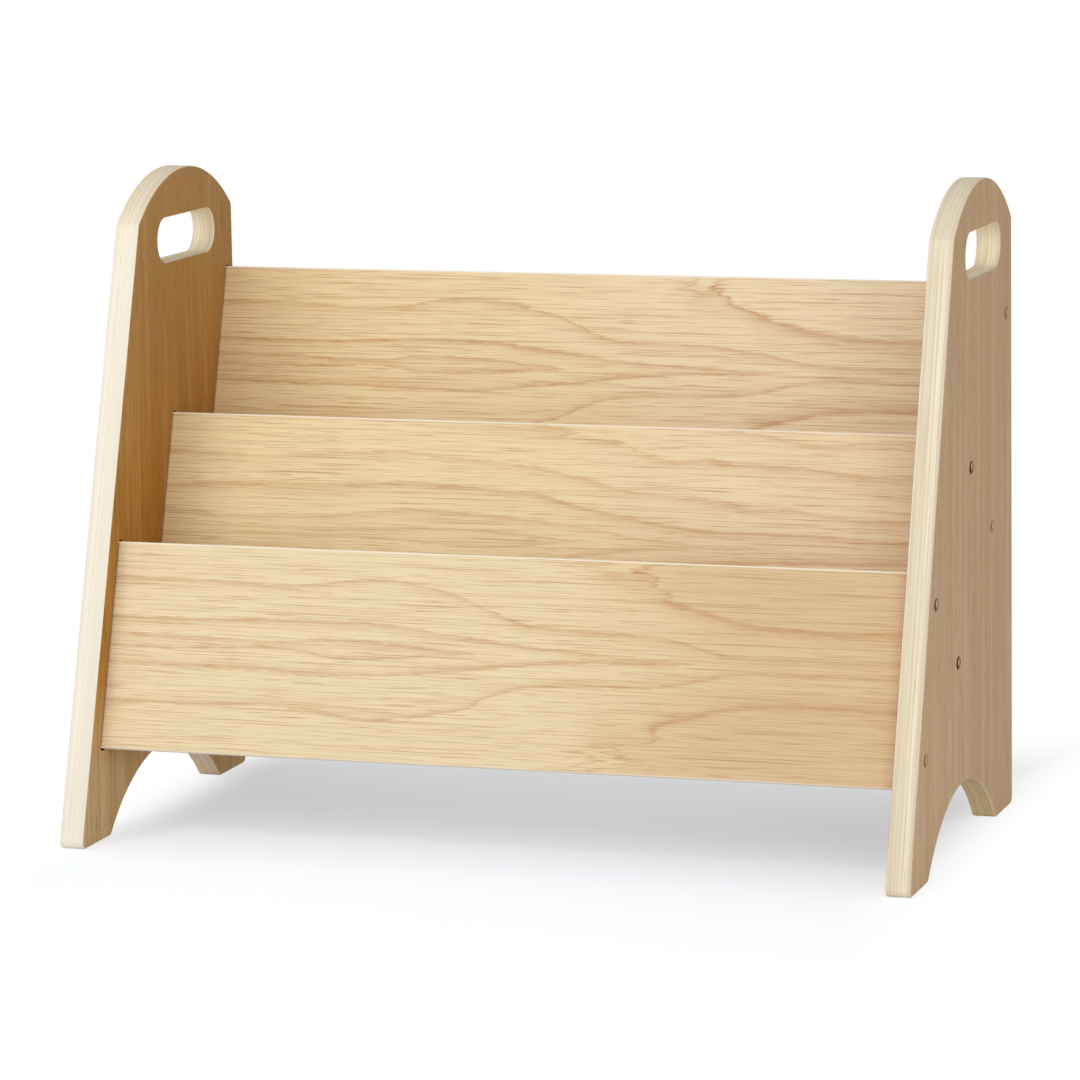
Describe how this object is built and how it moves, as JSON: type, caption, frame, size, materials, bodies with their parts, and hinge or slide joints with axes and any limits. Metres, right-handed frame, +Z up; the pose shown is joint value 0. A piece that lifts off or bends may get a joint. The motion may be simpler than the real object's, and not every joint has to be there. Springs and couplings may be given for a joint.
{
  "type": "book holder",
  "caption": "Free-standing book holder: leaning veneered panels and pocket floors between plywood sides with handle slots and arched feet.",
  "frame": {"origin": "on the floor below the middle of the holder", "axes": "+X along the width, +Y from the open front to the back, +Z up"},
  "size_m": [0.6, 0.3162, 0.4535],
  "materials": {
    "side_plywood": "clear matt lacquer on birch-core plywood",
    "panel_veneer": "clear matt lacquer on oak veneer",
    "floor_plywood": "clear matt lacquer on oak veneer",
    "screw": "yellow zinc plating",
    "dowel": "bare beech"
  },
  "bodies": {
    "root": {"back_panel": "panel_veneer", "back_panel_screw_left_bottom": "screw", "back_panel_screw_left_top": "screw", "back_panel_screw_right_bottom": "screw", "back_panel_screw_right_top": "screw", "front_floor": "floor_plywood", "front_floor_front_dowel_1": "dowel", "front_floor_front_dowel_2": "dowel", "front_floor_front_dowel_3": "dowel", "front_floor_rear_dowel_1": "dowel", "front_floor_rear_dowel_2": "dowel", "front_floor_rear_dowel_3": "dowel", "front_panel": "panel_veneer", "front_panel_screw_left_bottom": "screw", "front_panel_screw_left_top": "screw", "front_panel_screw_right_bottom": "screw", "front_panel_screw_right_top": "screw", "left_side": "side_plywood", "middle_panel": "panel_veneer", "middle_panel_screw_left_bottom": "screw", "middle_panel_screw_left_top": "screw", "middle_panel_screw_right_bottom": "screw", "middle_panel_screw_right_top": "screw", "rear_floor": "floor_plywood", "rear_floor_front_dowel_1": "dowel", "rear_floor_front_dowel_2": "dowel", "rear_floor_front_dowel_3": "dowel", "rear_floor_rear_dowel_1": "dowel", "rear_floor_rear_dowel_2": "dowel", "rear_floor_rear_dowel_3": "dowel", "right_side": "side_plywood"}
  },
  "joints": []
}
